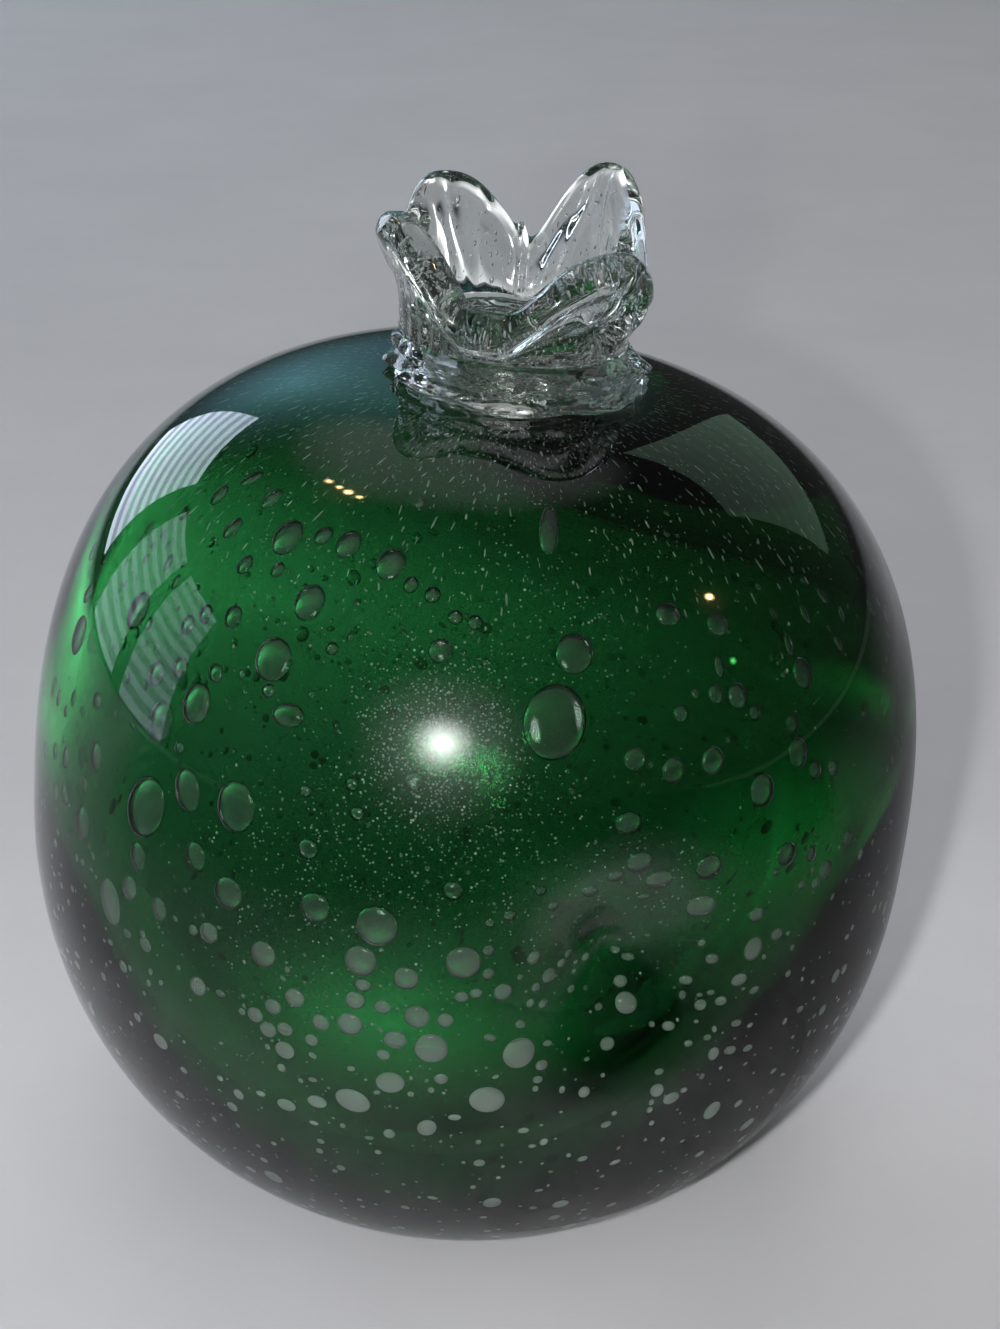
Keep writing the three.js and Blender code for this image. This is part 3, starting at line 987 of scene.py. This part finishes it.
# Screens seen through the glass: name, place, radius, strength
LOW_GLOWS = [("low_left", (-230, 240, 0.5), 220, 9), ("low_right", (126, 155, 0.5), 66, 4.6),
             ("beside", (92, 48, 0.55), 70, 4.1), ("under", (-12, 10, -0.02), 46, 2),
             ("behind_dent", (17, 47, -0.04), 32, 0.3), ("behind", (-40, 190, 0.6), 160, 0.7)]
CEILING = ("ceiling", (-300, 0, 1400), 1600, 0.9)
# Screens seen in the glass as in a mirror, the first as above
FRONT_POOL = ("front_pool", (50, -74, 0.9), 60, 0.24)
TEAL_DIRECTION = np.array([-0.206, 0.89, 0.407])
TEAL_DISTANCE = 1500
TEAL_RADIUS = 780
TEAL_STRENGTH = 1
# Panes: bearings of the two sides, heights of the foot and the top, strength, dimming at the slats, colour
PANES = [(114, 137, 120, 950, 4.1, 0.5, COOL), (146, 163, 40, 950, 1.8, 0.5, COOL),
         (168, 186, 15, 950, 1.7, 0.5, COOL), (37, 70, 400, 1300, 0.36, 0.9, MOSS)]
PANE_DISTANCE = 1600
SLAT_SCALE = 3.2
SLAT_DISTORTION = 1.5
SLAT_DETAIL = 3
# The key lamp, by its place beside the camera
KEY_LEFT = 23
KEY_BELOW = 7
KEY_RADIUS = 5
KEY_TARGET = (0, 150, 0)
KEY_CONE = math.radians(64)
KEY_WATTS = 4.6
# Soft lamps: name, place, width, watts
SOFT_LAMPS = [("top", (-40, 600, 1400), 1600, 10.8), ("front", (60, -700, 900), 700, 2.5)]
# The room is dark but for a soft glow overhead and behind: cosines at which it starts and is full
GLOW_DIRECTION = (-0.02, 0.573, 0.819)
GLOW_SPAN = (0.925, 0.98)
ROOM_DARK = (0.04, 0.04, 0.042)
ROOM_GLOW = (0.48, 0.48, 0.51)


def add_floor():
    floor = Surface()
    corners = [(-FLOOR_SIDE, FLOOR_FRONT, FLOOR_LEVEL), (FLOOR_SIDE, FLOOR_FRONT, FLOOR_LEVEL),
               (FLOOR_SIDE, FLOOR_BACK, FLOOR_LEVEL), (-FLOOR_SIDE, FLOOR_BACK, FLOOR_LEVEL)]
    floor.add(corners, [[0, 1, 2, 3]])
    material, tree, shader = nodes_of("floor")
    tint = spread_colour(tree, add_noise(tree, *FLOOR_NOISE), *FLOOR_TINTS)
    set_inputs(shader, Base_Color=tint, Roughness=FLOOR_ROUGHNESS)
    floor.build("floor", [material])


def hide(thing, *rays):
    """Hides a thing from kinds of rays, such as those to the camera."""
    for ray in rays:
        setattr(thing, f"visible_{ray}", False)


def emitter(name, colour):
    """A material with nothing yet but its emission and its output."""
    material, tree, _ = nodes_of(name)
    tree.nodes.clear()
    glow = add_node(tree, "Emission", Color=(*colour, 1))
    return material, tree, glow, add_node(tree, "OutputMaterial")


def slatted(strength, dimming, colour):
    """A pane's material, dimmed in bands."""
    material, tree, glow, output = emitter("pane", colour)
    wave = add_node(tree, "TexWave", Vector=object_place(tree), Scale=SLAT_SCALE,
                    Distortion=SLAT_DISTORTION, Detail=SLAT_DETAIL)
    wave.bands_direction = "Z"
    power = map_range(tree, wave.outputs["Fac"], *NOISE_RANGE, dimming * strength, strength)
    set_inputs(glow, Strength=power)
    set_inputs(output, Surface=glow.outputs["Emission"])
    return material


def add_panes():
    """Louvred soft panels behind the globe, three to the left and a faint one to the right."""
    for at, (start, end, low, high, strength, dimming, colour) in enumerate(PANES):
        bearing = np.radians([start, end, end, start])
        corners = around(PANE_DISTANCE, bearing, np.array([low, low, high, high]))
        pane = Surface()
        pane.add(corners, [[0, 1, 2, 3]])
        piece = pane.build(f"pane_{at}", [slatted(strength, dimming, colour)])
        hide(piece, "camera")


def aim(lamp, place, target):
    lamp.location = Vector(place) * MM
    lamp.rotation_euler = (Vector(target) - Vector(place)).to_track_quat("-Z", "Y").to_euler()


def add_lamp(name, place, width, watts):
    data = bpy.data.lights.new(name, "AREA")
    data.shape = "DISK"
    data.size = width * MM
    data.energy = watts
    lamp = add_object(name, data)
    aim(lamp, place, (0, 0, CENTRE_HEIGHT))
    return lamp


def screen_material(name, place, radius, strength, colour):
    """A glow that is brightest in the middle of its screen, and clear otherwise."""
    material, tree, glow, output = emitter(name, colour)
    mapping = add_node(tree, "Mapping", Vector=object_place(tree), Scale=(1 / (radius * MM),) * 3,
                       Location=tuple(-place / radius))
    gradient = add_node(tree, "TexGradient", Vector=mapping.outputs["Vector"])
    gradient.gradient_type = "QUADRATIC_SPHERE"
    power = map_range(tree, gradient.outputs["Fac"], 0, 1, 0, strength)
    set_inputs(glow, Strength=power)
    both = add_node(tree, "AddShader")
    tree.links.new(glow.outputs["Emission"], both.inputs[0])
    tree.links.new(add_node(tree, "BsdfTransparent").outputs["BSDF"], both.inputs[1])
    set_inputs(output, Surface=both.outputs["Shader"])
    return material


def add_glow(name, place, radius, strength, facing=UP, colour=WHITE, through=False):
    """A round glowing screen, seen only in mirrors or only through glass."""
    bearing = bearings_of(SCREEN_COLUMNS)[:, None]
    place = np.array(place)
    side = unit(np.cross(facing, SCREEN_UPRIGHT))
    rise = np.cross(facing, side)
    screen = Surface()
    ring = place + radius * (np.cos(bearing) * side + np.sin(bearing) * rise)
    screen.add(ring, [range(SCREEN_COLUMNS)])
    piece = screen.build(name, [screen_material(name, place, radius, strength, colour)])
    hide(piece, "camera", "diffuse", "shadow", "glossy" if through else "transmission")


# The flag is a dark card that only the glass mirrors: painted shade over the floor that it shows. It is
# fully dark in front and to the left: where it starts on either side, and over how far.
# A back, front or far edge below is where it starts and over how far it rises, along its own way
FLAG_SIDES = (-60, 0)
FLAG_STARTS = (140, 90)
FLAG_SOFTNESS = 150
FLAG_BACK = (-40, 60)
# To the right it is partly dark, painted shade that near the globe stands for its shadow: its depth at two
# distances, and its edges close by, far off and in front
FLAG_RIGHT_DISTANCES = (220, 600)
FLAG_RIGHT_DEPTHS = (0.6, 0.85)
FLAG_CLOSE_SLOPE = 1.2
FLAG_CLOSE_BASE = 0.3
FLAG_FAR_EDGE = (-50, 25)
FLAG_FAR_START = (180, 120)
FLAG_FRONT = (-100, 80)
# Two darker patches of painted shade, one at the front right and one round the foot: depth, then the
# middle and spread of each of its two measures
FLAG_CORNER = (0.5, (85, 26), (-55, 26))
FLAG_FOOT = (0.6, (50, 14), (-45, 28))
FLAG_RADII = (34, 42, 50, 58, 66, 75, 85, 95, 105, 130, 160, 200, 250, 310, 390, 490, 620, 800, 1300)
FLAG_COLUMNS = 72
FLAG_LEVEL = 0.8
# Colour of the painted shade that the glass mirrors
MIRRORED_SHADE_COLOUR = (0.02, 0.02, 0.02, 1)
FLAG_ROUGHNESS = 0.9


def patch(depth, first_spread, second_spread, first, second):
    return depth * near(first, *first_spread) * near(second, *second_spread)


def flag_shade(points):
    """How dark the flag's painted shade is: full in front and to the left, part way to the right of the
    globe.
    """
    x, y = points[..., 0], points[..., 1]
    away = np.hypot(x, y)
    bearing = np.degrees(np.arctan2(y, x))
    front = rising(away, np.interp(x, FLAG_SIDES, FLAG_STARTS), FLAG_SOFTNESS)
    front = front * rising(-y, *FLAG_BACK)
    close = np.clip(FLAG_CLOSE_SLOPE * x / away + FLAG_CLOSE_BASE, 0, 1)
    distant = rising(-bearing, *FLAG_FAR_EDGE) * (x > 0)
    share = rising(away, *FLAG_FAR_START)
    right = close * (1 - share) + distant * share
    right = right * np.interp(away, FLAG_RIGHT_DISTANCES, FLAG_RIGHT_DEPTHS)
    right = right * rising(y, *FLAG_FRONT)
    corner = patch(*FLAG_CORNER, x, y)
    foot = patch(*FLAG_FOOT, away, bearing)
    return np.max([front, right, corner, foot], axis=0)


def add_mirrored_shade():
    """A dark card over the floor, soft edged, that only mirrors show: painted shade in the floor that the
    glass mirrors.
    """
    shade_flag = Surface()
    rings = around(np.array(FLAG_RADII)[:, None], bearings_of(FLAG_COLUMNS), FLAG_LEVEL)
    shade_flag.add(rings, ring_faces(len(FLAG_RADII), FLAG_COLUMNS))
    material, tree, shader = nodes_of("shade_flag")
    shade = add_node(tree, "Attribute")
    shade.attribute_name = "shade"
    set_inputs(shader, Base_Color=MIRRORED_SHADE_COLOUR, Roughness=FLAG_ROUGHNESS, Alpha=shade.outputs["Fac"])
    piece = shade_flag.build("shade_flag", [material])
    values = flag_shade(rings).reshape(-1).astype(np.float32)
    piece.data.attributes.new("shade", "FLOAT", "POINT").data.foreach_set("value", values)
    hide(piece, "camera", "diffuse", "transmission", "shadow")


def add_key():
    """A small lamp beside the camera, which throws the sharp shadow to the right."""
    data = bpy.data.lights.new("key", "SPOT")
    data.energy = KEY_WATTS
    data.shadow_soft_size = KEY_RADIUS * MM
    data.spot_size = KEY_CONE
    data.spot_blend = 1
    key = add_object("key", data)
    aim(key, camera_place - KEY_LEFT * camera_right - KEY_BELOW * camera_up, KEY_TARGET)
    hide(key, "glossy", "transmission")


def add_room():
    """The world: dark, with one soft glow."""
    world = bpy.data.worlds.new("room")
    bpy.context.scene.world = world
    world.use_nodes = True
    tree = world.node_tree
    toward = add_node(tree, "VectorMath")
    toward.operation = "DOT_PRODUCT"
    toward.inputs[1].default_value = GLOW_DIRECTION
    tree.links.new(add_node(tree, "TexCoord").outputs["Generated"], toward.inputs[0])
    colour = spread_colour(tree, toward.outputs["Value"], ROOM_DARK, ROOM_GLOW, GLOW_SPAN)
    set_inputs(tree.nodes["Background"], Color=colour)


def add_lights():
    add_key()
    point, away = mirrored(*GLARE_PIXEL)
    hide(add_lamp("glint", point + GLARE_DISTANCE * away, GLARE_WIDTH, GLARE_WATTS), "diffuse")
    for lamp in SOFT_LAMPS:
        hide(add_lamp(*lamp), "glossy", "transmission")
    add_glow(*CEILING, facing=-UP, through=True)
    for name, distance, radius, strength, through in GLARE_SCREENS:
        add_glow(name, point + distance * away, radius, strength, -away, through=through)
    add_glow(*FRONT_POOL)
    teal_place = TEAL_DISTANCE * TEAL_DIRECTION
    add_glow("teal_glow", teal_place, TEAL_RADIUS, TEAL_STRENGTH, -TEAL_DIRECTION, TEAL)
    for screen in LOW_GLOWS:
        add_glow(*screen, through=True)
    for across, down, radius, strength, colour in GLINTS:
        point, away = mirrored(across, down)
        add_glow("spark", point + GLINT_DISTANCE * away, radius, strength, -away, colour)
    add_panes()
    add_room()


def show(piece, node):
    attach(piece, "root")
    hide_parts(node)


add_camera()
show(add_casing(), "clear_casing")
for voids in add_bubbles():
    show(voids, "clear_casing")
show(add_green(), "green_bubble")
show(add_collar(), "crown_collar")
show(add_cup(), "crown_cup")
show(add_cup_seeds(), "crown_cup")
add_floor()
add_lights()
add_mirrored_shade()

GLASS_BOUNCES = 32
MIRROR_BOUNCES = 12
scene = bpy.context.scene
scene.view_settings.view_transform = "Standard"
scene.cycles.max_bounces = GLASS_BOUNCES
scene.cycles.transmission_bounces = GLASS_BOUNCES
scene.cycles.glossy_bounces = MIRROR_BOUNCES
